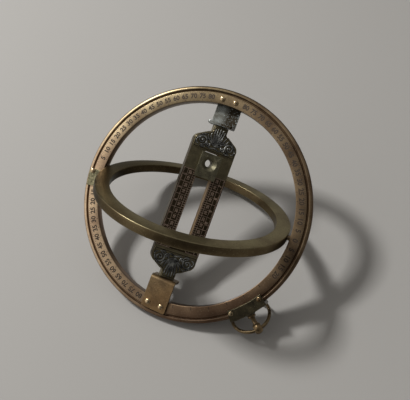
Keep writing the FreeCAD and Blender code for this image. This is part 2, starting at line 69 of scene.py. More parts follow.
def feed(made, **values):
    """Sets up a node: in_X gives the input named or numbered X its value or its link."""
    for key, value in values.items():
        if not key.startswith("in_"):
            setattr(made, key, value)
            continue
        place = key[3:]
        socket = made.inputs[int(place) if place.isdigit() else place.replace("_", " ")]
        if isinstance(value, bpy.types.NodeSocket):
            made.id_data.links.new(value, socket)
        else:
            socket.default_value = value


def maker(tree):
    """A maker of nodes for one tree, which gives back one output of each."""
    def node(kind, out=0, **values):
        made = tree.nodes.new(kind)
        feed(made, **values)
        return made.outputs[out]

    return node


def paint(name):
    """A new node material, its shader and a maker of its nodes."""
    material = bpy.data.materials.new(name)
    material.use_nodes = True
    return material, material.node_tree.nodes["Principled BSDF"], maker(material.node_tree)


def blend(node, share, under, over, way="MIX"):
    """Two colours mixed, or multiplied, by a share."""
    return node("ShaderNodeMix", 2, data_type="RGBA", blend_type=way, in_0=share, in_6=under, in_7=(*over, 1))


def aged_brass(name, rubbed, dulled, grimy, patch=6.0, grain=0.35, edge=0.5, rough=(0.34, 0.52),
               scratches=0.3, lathe=0.0, painted_light_drifts=(), walls=None, metal=0.9, pits=0.010):
    """Old brass: dull tarnish in clouds, grime in specks, worn bright edges, fine scratches.
    patch and grain are the sizes of clouds and specks in millimetres; lathe adds turning marks
    about the dial's centre; each drift, (direction, low, high, colour), paints light and shade as
    a slow change in tone; walls is (axis, half thickness, colour) of a darker tone on walls and grooves."""
    material, shader, node = paint(name)
    place = node("ShaderNodeTexCoord", "Object")
    clouds = node("ShaderNodeTexNoise", in_Vector=place, in_Scale=1000 / patch, in_Detail=5.0,
                  in_Roughness=0.62)
    specks = node("ShaderNodeTexNoise", in_Vector=place, in_Scale=1000 / grain, in_Detail=3.0,
                  in_Roughness=0.6)
    tone = node("ShaderNodeMapRange", in_0=clouds, in_1=0.34, in_2=0.66)
    colour = blend(node, tone, (*grimy, 1), dulled)
    # Each drift paints light and shade: a slow change in tone along one direction.
    for direction, low, high, painted_light_tone in painted_light_drifts:
        along = node("ShaderNodeVectorMath", 1, operation="DOT_PRODUCT", in_0=place, in_1=direction)
        reach = node("ShaderNodeMapRange", in_0=along, in_1=low / 1000, in_2=high / 1000)
        colour = blend(node, reach, colour, painted_light_tone, "MULTIPLY")
    # A darker tone on a ring's bore, rim and groove floors.
    if walls:
        axis, half, wall_colour = walls
        across = node("ShaderNodeVectorMath", 1, operation="DOT_PRODUCT", in_0=place, in_1=axis)
        depth = node("ShaderNodeMath", operation="SUBTRACT", in_0=across, in_1=axis.dot(DIAL.translation))
        sunk = node("ShaderNodeMath", operation="ABSOLUTE", in_0=depth)
        gate = node("ShaderNodeMapRange", in_0=sunk, in_1=(half - 0.05) / 1000, in_2=(half - 0.22) / 1000)
        colour = blend(node, gate, colour, wall_colour, "MULTIPLY")
    speck_tone = node("ShaderNodeMapRange", in_0=specks, in_1=0.56, in_2=0.72)
    speck_share = node("ShaderNodeMath", operation="MULTIPLY", in_0=speck_tone, in_1=0.7)
    speckled = blend(node, speck_share, colour, [c * 0.35 for c in grimy])
    aslant = node("ShaderNodeMapping", in_Vector=place, in_Rotation=(0.4, 0.7, 0.9))
    scored = node("ShaderNodeMapping", in_Vector=aslant, in_Scale=(8000, 2400, 1900))
    score = node("ShaderNodeTexNoise", in_Vector=scored, in_Scale=1.0, in_Detail=2.0, in_Roughness=0.5)
    marks = node("ShaderNodeMapRange", in_0=score, in_1=0.60, in_2=0.70)
    if lathe:
        centred = node("ShaderNodeMapping", vector_type="POINT", in_Vector=place,
                       in_Location=[-c for c in DIAL.translation])
        radius = node("ShaderNodeVectorMath", 1, operation="LENGTH", in_0=centred)
        turning = node("ShaderNodeTexNoise", noise_dimensions="1D", in_W=radius, in_Scale=9000.0,
                       in_Detail=3.0)
        lines = node("ShaderNodeMapRange", in_0=turning, in_1=0.52, in_2=0.66, in_4=lathe)
        marks = node("ShaderNodeMath", operation="MAXIMUM", in_0=marks, in_1=lines)
    straight = node("ShaderNodeVectorMath", 1, operation="DOT_PRODUCT",
                    in_0=node("ShaderNodeBevel", samples=4, in_Radius=0.00016),
                    in_1=node("ShaderNodeNewGeometry", "Normal"))
    corner = node("ShaderNodeMapRange", in_0=straight, in_1=0.985, in_2=0.86)
    patchy = node("ShaderNodeMapRange", in_0=specks, in_1=0.36, in_2=0.58, in_4=edge)
    broken = node("ShaderNodeMath", operation="MULTIPLY", in_0=corner, in_1=patchy)
    mark_share = node("ShaderNodeMath", operation="MULTIPLY", in_0=marks, in_1=scratches)
    shine = node("ShaderNodeMath", operation="ADD", use_clamp=True, in_0=broken, in_1=mark_share)
    gloss = node("ShaderNodeMapRange", in_0=clouds, in_1=0.3, in_2=0.7, in_3=rough[0], in_4=rough[1])
    polished = node("ShaderNodeMath", operation="MULTIPLY_ADD", use_clamp=True, in_0=shine, in_1=-0.14,
                    in_2=gloss)
    height = node("ShaderNodeMath", operation="MULTIPLY_ADD", in_0=marks, in_1=-0.6, in_2=specks)
    relief = node("ShaderNodeBump", in_Strength=0.5, in_Distance=pits / 1000, in_Height=height)
    feed(shader, in_Base_Color=blend(node, shine, speckled, rubbed), in_Roughness=polished,
         in_Metallic=metal, in_Normal=relief)
    return material


def node_tree(name, **inputs):
    """A geometry tree with named inputs: their sockets, a maker of its nodes, and a function that
    closes the tree behind its last geometry."""
    tree = bpy.data.node_groups.new(name, "GeometryNodeTree")
    for label, kind in {"Geometry": "Geometry", **inputs, "Finish": "Material"}.items():
        tree.interface.new_socket(label, in_out="INPUT", socket_type="NodeSocket" + kind)
    tree.interface.new_socket("Geometry", in_out="OUTPUT", socket_type="NodeSocketGeometry")
    given = tree.nodes.new("NodeGroupInput").outputs
    node = maker(tree)

    def closed(geometry):
        solid = node("GeometryNodeRealizeInstances", in_0=geometry)
        finished = node("GeometryNodeSetMaterial", in_Geometry=solid, in_Material=given["Finish"])
        feed(tree.nodes.new("NodeGroupOutput"), in_0=finished)
        return tree

    return given, node, closed


def stand(name, data):
    """An object in the scene."""
    thing = bpy.data.objects.new(name, data)
    bpy.context.scene.collection.objects.link(thing)
    return thing


def as_mesh(holder):
    """The plain mesh that an object and its modifiers come to; the object goes."""
    bpy.context.view_layer.update()
    whole = holder.evaluated_get(bpy.context.evaluated_depsgraph_get())
    mesh = bpy.data.meshes.new_from_object(whole)
    bpy.data.objects.remove(holder)
    return mesh


def grown(tree, base, **sizes):
    """The plain mesh that a tree makes from a base mesh and its named sizes."""
    holder = stand("holder", base)
    modifier = holder.modifiers.new("tree", "NODES")
    modifier.node_group = tree
    for item in tree.interface.items_tree:
        if item.in_out == "INPUT" and item.name in sizes:
            modifier[item.identifier] = sizes[item.name]
    return as_mesh(holder)


def settle(name, mesh, body, place=DIAL, nodes=(), sharp=35):
    """Puts a mesh drawn in millimetres in its place, rides it on its body and hides the nodes
    of the construction that it shows."""
    mesh.transform(place)
    mesh.name = name
    if sharp:
        mesh.shade_smooth()
        mesh.set_sharp_from_angle(angle=math.radians(sharp))
    thing = stand(name, mesh)
    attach(thing, body)
    if nodes:
        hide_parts(*nodes)


def outline_mesh(points):
    """A closed outline of edges on the XY plane."""
    mesh = bpy.data.meshes.new("outline")
    count = len(points)
    mesh.from_pydata([(x, y, 0) for x, y in points], [(i, (i + 1) % count) for i in range(count)], [])
    return mesh


def rounded(corners, steps=3):
    """An outline whose (x, y, radius) corners are rounded over."""
    points = []
    count = len(corners)
    for i, (x, y, radius) in enumerate(corners):
        here = Vector((x, y))
        to_last = (Vector(corners[i - 1][:2]) - here).normalized()
        to_next = (Vector(corners[(i + 1) % count][:2]) - here).normalized()
        if radius <= 0:
            points.append((x, y))
            continue
        start, end = here + to_last * radius, here + to_next * radius
        for step in range(steps + 1):
            t = step / steps
            spot = start * (1 - t) ** 2 + here * 2 * t * (1 - t) + end * t ** 2
            points.append(tuple(spot))
    return points


def ring_tree():
    """Sweeps an outline round a circle and leaves the slight unevenness of handwork."""
    given, node, closed = node_tree("turned_ring", Radius="Float", Stations="Int", Unevenness="Float",
                                    Seed="Int")
    circle = node("GeometryNodeCurvePrimitiveCircle", in_Radius=given["Radius"],
                  in_Resolution=given["Stations"])
    outline = node("GeometryNodeMeshToCurve", in_0=given["Geometry"])
    sweep = node("GeometryNodeCurveToMesh", in_Curve=circle, in_Profile_Curve=outline)
    noise = node("ShaderNodeTexNoise", "Color", noise_dimensions="4D", in_Scale=0.35, in_W=given["Seed"])
    centred = node("ShaderNodeVectorMath", operation="SUBTRACT", in_0=noise, in_1=(0.5, 0.5, 0.5))
    amount = node("ShaderNodeVectorMath", operation="SCALE", in_0=centred, in_Scale=given["Unevenness"])
    return closed(node("GeometryNodeSetPosition", in_0=sweep, in_Offset=amount))


RINGS = ring_tree()


def groove_lips(side):
    """The face of the meridian ring from bore to rim, with its groove, on one side."""
    face = RING_FACE * side
    floor = (RING_FACE - GROOVE_DEPTH) * side
    return [(RING_BORE, face, 0.16), (GROOVE_NEAR, face, 0.06), (GROOVE_NEAR + 0.06, floor, 0.12),
            (GROOVE_FAR - 0.06, floor, 0.12), (GROOVE_FAR, face, 0.07), (RING_OUTSIDE, face, 0.74)]


ring_outline = rounded(groove_lips(1) + groove_lips(-1)[::-1])
ring_outline = [(x - RING_OUTSIDE, y) for x, y in ring_outline[::-1]]
# Painted light and shade in the drifts: the left edge lighter, the top darker, the lower right towards the saddle
# darker and redder.
meridian_brass = aged_brass("meridian_brass", rubbed=(0.70, 0.57, 0.39), dulled=(0.74, 0.56, 0.365),
                            grimy=(0.42, 0.285, 0.185), patch=7.0, edge=0.5, lathe=0.3, scratches=0.2,
                            painted_light_drifts=(((0.97, 0.20, -0.1), -32, -4, (0.40, 0.385, 0.35)),
                                    ((-0.5, 0.86, 0), 17, 28, (0.66, 0.72, 0.66)),
                                    ((0.45, -0.89, 0), 20, 29, (0.74, 0.64, 0.66))), rough=(0.30, 0.40),
                            walls=(DIAL.col[1].to_3d().normalized(), RING_FACE, (0.42, 0.36, 0.32)))
ring_mesh = grown(RINGS, outline_mesh(ring_outline), Radius=RING_OUTSIDE, Stations=540,
                  Unevenness=0.02, Seed=3, Finish=meridian_brass)
UPRIGHT = DIAL @ Matrix.Rotation(math.radians(90), 4, "X")
settle("meridian_ring_turned", ring_mesh, "frame", UPRIGHT, ["meridian_ring"])

# Graduations of the meridian ring. Fine lines and plain degree figures cut into both faces with
# a graver and left dark with old wax and dirt. The front has figures every five degrees and only
# bare tens near the saddle, the back single degrees with figures at the tens.
FRONT, BACK = 1, -1
wax = aged_brass("dark_wax_in_engraving", rubbed=(0.12, 0.085, 0.055), dulled=(0.055, 0.036, 0.022),
                 grimy=(0.03, 0.02, 0.013), patch=1.5, edge=0.2, rough=(0.55, 0.7), metal=0.3)


def graduation_tree():
    """Bars set side by side round a circle, each pointing at its middle."""
    given, node, closed = node_tree("graduation", Radius="Float", First="Float", Step="Float",
                                    Count="Int", Length="Float", Width="Float", Depth="Float",
                                    Height="Float")
    size = node("ShaderNodeCombineXYZ", in_0=given["Length"], in_1=given["Width"], in_2=given["Depth"])
    bar = node("GeometryNodeMeshCube", "Mesh", in_Size=size)
    angle = node("ShaderNodeMath", operation="MULTIPLY_ADD", in_0=node("GeometryNodeInputIndex"),
                 in_1=given["Step"], in_2=given["First"])
    turn = node("ShaderNodeCombineXYZ", in_2=angle)
    middle = node("ShaderNodeMath", operation="MULTIPLY_ADD", in_0=given["Length"], in_1=0.5,
                  in_2=given["Radius"])
    straight = node("ShaderNodeCombineXYZ", in_0=middle, in_2=given["Height"])
    spot = node("ShaderNodeVectorRotate", rotation_type="EULER_XYZ", in_Vector=straight, in_Rotation=turn)
    marks = node("GeometryNodePoints", in_Count=given["Count"], in_Position=spot)
    return closed(node("GeometryNodeInstanceOnPoints", in_Points=marks, in_Instance=bar, in_Rotation=turn))


def coated(mesh, finish):
    """A mesh with one finish all over."""
    mesh.materials.clear()
    mesh.materials.append(finish)
    return mesh


def joined(meshes, finish):
    """One mesh of several that carry the same finish."""
    shell = bmesh.new()
    for mesh in meshes:
        shell.from_mesh(mesh)
    for face in shell.faces:
        face.material_index = 0
    whole = bpy.data.meshes.new("joined")
    shell.to_mesh(whole)
    shell.free()
    return coated(whole, finish)


GRADUATION = graduation_tree()
ENGRAVED = 0.016


def degree_lines(first, last, step, radius, length, width, side):
    """Engraved lines from one angle to another on one face."""
    count = round((last - first) / step) + 1
    return grown(GRADUATION, bpy.data.meshes.new("seed"), Radius=radius, First=math.radians(first),
                 Step=math.radians(step), Count=count, Length=length, Width=width,
                 Depth=2 * ENGRAVED, Height=RING_FACE * side, Finish=wax)


figure_store = {}


def figure(text, size, depth, finish):
    """The flat mesh of a number, centred, a little thick."""
    key = (text, size, depth)
    if key not in figure_store:
        curve = bpy.data.curves.new("figure", "FONT")
        curve.body = text
        curve.size = size
        curve.extrude = depth
        curve.offset = 0.036 * size
        curve.resolution_u = 3
        curve.align_x, curve.align_y = "CENTER", "CENTER"
        solid = as_mesh(stand("figure", curve))
        shell = bmesh.new()
        shell.from_mesh(solid)
        bmesh.ops.remove_doubles(shell, verts=shell.verts, dist=1e-5)
        bmesh.ops.recalc_face_normals(shell, faces=shell.faces)
        shell.to_mesh(solid)
        shell.free()
        figure_store[key] = solid
    return coated(figure_store[key].copy(), finish)


def figure_on_ring(number, angle, radius, size, side):
    """A number bent round the face, its top outwards, on the front or the back."""
    mesh = figure(str(number), size, ENGRAVED, wax)
    for corner in mesh.vertices:
        x, y, z = corner.co
        around = math.radians(angle) - side * x / radius
        reach = radius + y
        corner.co = (reach * math.cos(around), reach * math.sin(around), side * (RING_FACE + z))
    return mesh


def from_pivot(angle):
    """Degrees from the nearer pivot, as such a scale counts."""
    turned = abs((angle + 180) % 360 - 180)
    return round(min(turned, 180 - turned))


INNER_TICKS, OUTER_TICKS = 30.42, 32.72
marks = []
for first, last in ((97, 178), (194, 262), (-20, 83)):
    marks.append(degree_lines(first, last, 1, OUTER_TICKS, 0.4, 0.085, FRONT))
for first, last in ((100, 175), (195, 260), (-20, 80)):
    marks.append(degree_lines(first, last, 5, INNER_TICKS, 0.42, 0.13, FRONT))
    marks += [figure_on_ring(from_pivot(a), a, 31.78, 2.0, FRONT) for a in range(first, last + 1, 5)]
marks.append(degree_lines(-80, -30, 10, INNER_TICKS, 0.85, 0.24, FRONT))
for first, last in ((-82, 82), (98, 262)):
    marks.append(degree_lines(first, last, 1, INNER_TICKS, 0.5, 0.085, BACK))
    marks.append(degree_lines(round(first, -1), last // 10 * 10, 10, INNER_TICKS, 0.95, 0.13, BACK))
for angle in [a for a in range(-80, 261, 10) if a != 90]:
    marks.append(figure_on_ring(from_pivot(angle), angle, 32.25, 1.3, BACK))
settle("meridian_ring_graduations", joined(marks, wax), "frame", UPRIGHT)

# Hour ring. A square ring turned from brass rod, its faces left plain and its corners only just
# broken. It turns on two pins inside the meridian ring and lies opened past the square.
HOUR_OUTSIDE, HOUR_BORE, HOUR_FACE = 29.5, 25.2, 1.3
closed_flat = [joint["range_deg"][0] for joint in frame["joints"] if joint["name"] == "hour_ring_hinge"]
hour_tilt = -closed_flat[0] - 90
hour_outline = rounded([(r - HOUR_OUTSIDE, z, 0.26) for r, z in
                        ((HOUR_BORE, -HOUR_FACE), (HOUR_OUTSIDE, -HOUR_FACE),
                         (HOUR_OUTSIDE, HOUR_FACE), (HOUR_BORE, HOUR_FACE))])
OPENED = DIAL @ Matrix.Rotation(math.radians(hour_tilt), 4, "X")
# Painted shade: the hour ring is painted darker towards its left end.
hour_brass = aged_brass("hour_ring_brass", rubbed=(0.60, 0.50, 0.30), dulled=(0.31, 0.268, 0.155),
                        grimy=(0.19, 0.152, 0.088), patch=6.0, edge=0.5, lathe=0.3, scratches=0.2,
                        painted_light_drifts=(((-1, 0, 0), 10, 25, (0.34, 0.31, 0.27)),), rough=(0.28, 0.38),
                        walls=(OPENED.col[2].to_3d().normalized(), HOUR_FACE, (0.46, 0.40, 0.36)))
feed(hour_brass.node_tree.nodes["Principled BSDF"], in_Specular_Tint=(0.55, 0.56, 0.55, 1))
hour_mesh = grown(RINGS, outline_mesh(hour_outline), Radius=HOUR_OUTSIDE, Stations=480,
                  Unevenness=0.02, Seed=8, Finish=hour_brass)
settle("hour_ring_turned", hour_mesh, "hour_ring_body", OPENED, ["hour_ring"])

# Pivot pins. Plain brass wire, pressed in from the rim and from the shelves and filed flush. The
# hour ring turns on one pair, the bridge on the other.
pin_brass = aged_brass("pivot_wire", rubbed=(0.70, 0.55, 0.34), dulled=(0.34, 0.26, 0.16),
                       grimy=(0.17, 0.12, 0.07), patch=1.2, grain=0.2, edge=0.5)
for name in ("hour_pivot_pins", "pole_pivot_pins"):
    coated(frame["nodes"][name].data, pin_brass)

# Brackets. Two angles bent from brass sheet, the lower on the front face and the upper on the
# back, each held by two rivets. Their shelves carry the bridge. The lower is rubbed golden, with a
# bluish cast painted on its shelf end as a painted reflection of the sky. The upper is scratched,
# grey-blue on its left half as a painted reflection of the sky, and painted nearly black on its
# right half as painted shade.
lower_brass = aged_brass("lower_bracket_sheet", rubbed=(0.64, 0.50, 0.30), dulled=(0.33, 0.208, 0.097),
                         grimy=(0.20, 0.125, 0.062), patch=3.2, edge=0.8, scratches=0.3, rough=(0.28, 0.38),
                         painted_light_drifts=(((-0.5, 0.86, 0), -23, -15, (0.92, 1.08, 1.3)),))
# Painted reflection and painted shade: grey-blue on the left half, nearly black on the right half.
upper_brass = aged_brass("upper_bracket_sheet", rubbed=(0.62, 0.72, 0.74), dulled=(0.26, 0.275, 0.265),
                         grimy=(0.15, 0.15, 0.13), patch=2.2, edge=1.0, scratches=0.5, rough=(0.36, 0.48),
                         painted_light_drifts=(((1, 0, 0), -1.2, 0.9, (0.16, 0.12, 0.08)),))


def eased(node, width, finish):
    """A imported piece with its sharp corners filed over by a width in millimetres."""
    mesh = coated(frame["nodes"][node].data.copy(), finish)
    shell = bmesh.new()
    shell.from_mesh(mesh)
    bmesh.ops.remove_doubles(shell, verts=shell.verts, dist=1e-6)
    bmesh.ops.dissolve_limit(shell, angle_limit=math.radians(1.0), verts=shell.verts, edges=shell.edges)
    for face in shell.faces:
        face.material_index = 0
    shell.to_mesh(mesh)
    shell.free()
    mesh.shade_smooth()
    mesh.set_sharp_from_angle(angle=math.radians(30))
    holder = stand("holder", mesh)
    bevel = holder.modifiers.new("filed", "BEVEL")
    bevel.width = width / 1000
    bevel.segments = 2
    bevel.limit_method = "ANGLE"
    bevel.angle_limit = math.radians(38)
    bevel.use_clamp_overlap = True
    even = holder.modifiers.new("even", "WEIGHTED_NORMAL")
    even.keep_sharp = False
    even.weight = 90
    return as_mesh(holder)


STAY = Matrix.Identity(4)
settle("lower_bracket_sheet", eased("lower_bracket", 0.09, lower_brass), "frame", STAY,
       ["lower_bracket"], sharp=None)
settle("upper_bracket_sheet", eased("upper_bracket", 0.09, upper_brass), "frame", STAY,
       ["upper_bracket"], sharp=None)

# Stop. A scrap of sheet brass beside the left pivot, mottled with verdigris and solder, with a
# lug that the opened hour ring rests on.
stop_brass = aged_brass("stop_sheet", rubbed=(0.80, 0.72, 0.50), dulled=(0.36, 0.33, 0.20),
                        grimy=(0.10, 0.095, 0.055), patch=0.8, grain=0.25, edge=0.6, scratches=0.4,
                        rough=(0.3, 0.5))
settle("hour_ring_stop_plate", eased("hour_ring_stop", 0.07, stop_brass), "frame", STAY,
       ["hour_ring_stop"], sharp=None)

# Rivets. Cut from brass wire and hammered over at both ends, so each head is a low dome with a
# few dull facets, rubbed bright on top. One drawing serves the brackets and the stop.
rivet_brass = aged_brass("rubbed_rivet", rubbed=(0.97, 0.85, 0.62), dulled=(0.74, 0.58, 0.36),
                         grimy=(0.36, 0.25, 0.14), patch=0.8, grain=0.2, edge=0.3, scratches=0.4,
                         rough=(0.16, 0.3), pits=0.02)


def turned(points, steps=40):
    """A turned mesh about Z from (radius, height) points that start and end on the axis."""
    shell = bmesh.new()
    rings = []
    for radius, height in points:
        if radius < 1e-6:
            rings.append([shell.verts.new((0, 0, height))])
        else:
            rings.append([shell.verts.new((radius * math.cos(a), radius * math.sin(a), height))
                          for a in (2 * math.pi * i / steps for i in range(steps))])
    for low, high in zip(rings, rings[1:]):
        for i in range(steps):
            j = (i + 1) % steps
            corners = [low[i % len(low)], low[j % len(low)], high[j % len(high)], high[i % len(high)]]
            shell.faces.new(list(dict.fromkeys(corners)))
    bmesh.ops.recalc_face_normals(shell, faces=shell.faces)
    mesh = bpy.data.meshes.new("turned")
    shell.to_mesh(mesh)
    shell.free()
    return mesh


def head_points(radius, height, base, way):
    """Outline of a hammered head from its edge to its slightly flattened top."""
    skirt = 0.09
    return [(radius * 0.93, base), (radius, base + way * skirt)] + \
           [(radius * math.cos(a), base + way * (skirt + (height - skirt) * math.sin(a) ** 0.9))
            for a in (math.pi / 2 * i / 8 for i in range(1, 8))] + [(0, base + way * height)]


def rivet_mesh(low, high):
    """A rivet along Z with a head below low and a head above high."""
    shank, radius, height = 0.55, 0.85, 0.5
    below = head_points(radius, height, low, -1)
    above = head_points(radius, height, high, 1)
    return turned(below[::-1] + [(shank, low), (shank, high)] + above)


def riveting_tree():
    """Sets a piece at each point, turned and swollen a little by the hammer."""
    given, node, closed = node_tree("riveting", Rivet="Object", Spread="Float", Seed="Int")
    source = node("GeometryNodeObjectInfo", "Geometry", in_Object=given["Rivet"])
    points = node("GeometryNodeMeshToPoints", in_0=given["Geometry"])
    turn = node("FunctionNodeRandomValue", data_type="FLOAT_VECTOR", in_1=(0.0, 0.0, 6.2832),
                in_Seed=given["Seed"])
    least = node("ShaderNodeMath", operation="SUBTRACT", in_0=1.0, in_1=given["Spread"])
    swell = node("FunctionNodeRandomValue", 1, data_type="FLOAT", in_2=least, in_3=1.0,
                 in_Seed=given["Seed"])
    size = node("ShaderNodeCombineXYZ", in_0=swell, in_1=swell, in_2=1.0)
    return closed(node("GeometryNodeInstanceOnPoints", in_Points=points, in_Instance=source,
                       in_Rotation=turn, in_Scale=size))


RIVETING = riveting_tree()


def riveted(rivet, spots, spread, seed, finish):
    """The rivets of one group as a plain mesh, each hammered a little differently."""
    pattern = stand("pattern", rivet)
    seats = bpy.data.meshes.new("seats")
    seats.from_pydata(spots, [], [])
    mesh = grown(RIVETING, seats, Rivet=pattern, Spread=spread, Seed=seed, Finish=finish)
    bpy.data.objects.remove(pattern)
    rng = np.random.default_rng(seed)
    facets = [Vector(v).normalized() for v in rng.normal(size=(7, 3)) + np.array((0, 0, 0.4))]
    round_to, flattened = 0.45, 0.18
    for corner in mesh.vertices:
        spot = min(spots, key=lambda s: (s[0] - corner.co.x) ** 2 + (s[1] - corner.co.y) ** 2)
        out = Vector((corner.co.x - spot[0], corner.co.y - spot[1], 0))
        dent = max(out.dot(facet) for facet in facets)
        corner.co -= out * max(0.0, dent - round_to) * flattened
    return mesh


RIVET_CIRCLE, RIVET_SIDE, SHEET = 31.8, 2.1, 0.8
STOP_CIRCLE, STOP_DROP, STOP_SHEET = 33.3, 2.0, 0.6
rivet_rise = math.sqrt(RIVET_CIRCLE ** 2 - RIVET_SIDE ** 2)
lower_spots = [(side * RIVET_SIDE, -rivet_rise, 0) for side in (-1, 1)]
upper_spots = [(side * RIVET_SIDE, rivet_rise, 0) for side in (-1, 1)]
stop_spots = [(-math.sqrt(STOP_CIRCLE ** 2 - STOP_DROP ** 2), -STOP_DROP, 0)]
settle("lower_bracket_riveting",
       riveted(rivet_mesh(-RING_FACE, RING_FACE + SHEET), lower_spots, 0.06, 4, rivet_brass),
       "frame", UPRIGHT, ["lower_bracket_rivets"])
settle("upper_bracket_riveting",
       riveted(rivet_mesh(-RING_FACE - SHEET, RING_FACE), upper_spots, 0.06, 9, rivet_brass),
       "frame", UPRIGHT, ["upper_bracket_rivets"])
settle("stop_riveting",
       riveted(rivet_mesh(-RING_FACE, RING_FACE + STOP_SHEET), stop_spots, 0.03, 2, rivet_brass),
       "frame", UPRIGHT, ["stop_rivet"])

# Bridge. A cast frame of bronze, blackened in the mould and by handling, with a slot for the
# slider. Both ends carry a raised field of old leaf and scroll ornament, and the rails a raised
# scale of plain figures. Thumbs have rubbed only the highest spots back to metal.
bridge_turn = math.radians(29.5)
BRIDGE = DIAL @ Matrix(((math.cos(bridge_turn), 0, math.sin(bridge_turn), 0),
                        (math.sin(bridge_turn), 0, -math.cos(bridge_turn), 0),
                        (0, 1, 0, 0), (0, 0, 0, 1)))
BRIDGE_FACE, FIELD_FACE = 1.3, 1.55
black_bronze = aged_brass("blackened_bronze", rubbed=(0.46, 0.38, 0.25), dulled=(0.265, 0.235, 0.14),
                          grimy=(0.17, 0.145, 0.09), patch=2.4, grain=0.3, edge=0.8, scratches=0.22,
                          rough=(0.32, 0.46), metal=0.85, pits=0.03)


def tinted(material, place, limits, colour):
    """Tints a finish within or beyond some distances: (axis, middle, half width, within)."""
    node = maker(material.node_tree)
    shader = material.node_tree.nodes["Principled BSDF"]
    body = shader.inputs["Base Color"].links[0].from_socket
    around = node("ShaderNodeTexCoord", "Object")
    share = 1.0
    for axis, middle, half, within in limits:
        way = place.col[axis].to_3d().normalized()
        along = node("ShaderNodeVectorMath", 1, operation="DOT_PRODUCT", in_0=around, in_1=way)
        gate = node("ShaderNodeMath", operation="COMPARE", in_0=along, in_2=half / 1000,
                    in_1=way.dot(place.translation) + middle / 1000)
        if not within:
            gate = node("ShaderNodeMath", operation="SUBTRACT", in_0=1.0, in_1=gate)
        share = node("ShaderNodeMath", operation="MULTIPLY", in_0=share, in_1=gate)
    feed(shader, in_Base_Color=blend(node, share, body, colour, "MULTIPLY"))


ACROSS, UP, OUTWARDS = 0, 1, 2
scale_ground = [(UP, -3.0, 12.05, True), (OUTWARDS, 0, BRIDGE_FACE - 0.03, False)]
outer_walls = [(ACROSS, 0, 6.79, False)]
# Painted light: the slot's walls are made lighter and warmer, as if lit by the lamp.
painted_lit_slot_walls = [(ACROSS, 0, 2.46, True), (UP, 1.3, 14.2, True)]
tinted(black_bronze, BRIDGE, scale_ground, (0.26, 0.22, 0.19))
tinted(black_bronze, BRIDGE, outer_walls, (0.33, 0.29, 0.25))
tinted(black_bronze, BRIDGE, painted_lit_slot_walls, (1.7, 1.3, 1.1))
settle("bridge_casting", eased("bridge", 0.12, black_bronze), "bridge_body", STAY, ["bridge"],
       sharp=None)


def near_stroke(x, y, points, widths):
    """How high a rounded stroke stands over each spot, from 0 to 1, and the way along it."""
    best = np.full(x.shape, -1.0)
    along = np.zeros(x.shape)
    points = np.array(points)
    count = len(points) - 1
    for i in range(count):
        (x0, y0), (x1, y1) = points[i], points[i + 1]
        dx, dy = x1 - x0, y1 - y0
        t = np.clip(((x - x0) * dx + (y - y0) * dy) / (dx * dx + dy * dy + 1e-12), 0, 1)
        width = widths[i] + (widths[i + 1] - widths[i]) * t
        off = np.hypot(x - x0 - t * dx, y - y0 - t * dy) / width
        better = 1 - off > best
        best = np.where(better, 1 - off, best)
        along = np.where(better, (i + t) / count, along)
    return best, along


def stroke_height(x, y, points, widths, vein=0.0):
    """A rounded ridge along a stroke, with a fine vein cut down its middle."""
    best, along = near_stroke(x, y, points, widths)
    off = 1 - best
    ridge = np.sqrt(np.clip(1 - off ** 2, 0, None))
    return np.where(best > 0, ridge - vein * np.exp(-(off / 0.22) ** 2) * np.sin(np.pi * along), 0)


def bent(start, middle, end, steps=12):
    """Points along a smooth bend."""
    start, middle, end = (np.array(spot, float) for spot in (start, middle, end))
    return [tuple(start * (1 - t) ** 2 + middle * 2 * t * (1 - t) + end * t ** 2)
            for t in (i / steps for i in range(steps + 1))]


def scroll(cx, cy, radius, inner, start, turns, steps=40):
    """A volute that winds in towards its eye."""
    return [(cx + (radius + (inner - radius) * t) * math.cos(math.radians(start + 360 * turns * t)),
             cy + (radius + (inner - radius) * t) * math.sin(math.radians(start + 360 * turns * t)))
            for t in (i / steps for i in range(steps + 1))]


def leaf_widths(count, widest, tip=0.06):
    """Half widths of a leaf, from its stalk through its belly to its tip."""
    return [tip + (widest - tip) * math.sin(math.pi * min(1.0, 0.12 + 0.88 * i / (count - 1))) ** 0.8
            for i in range(count)]


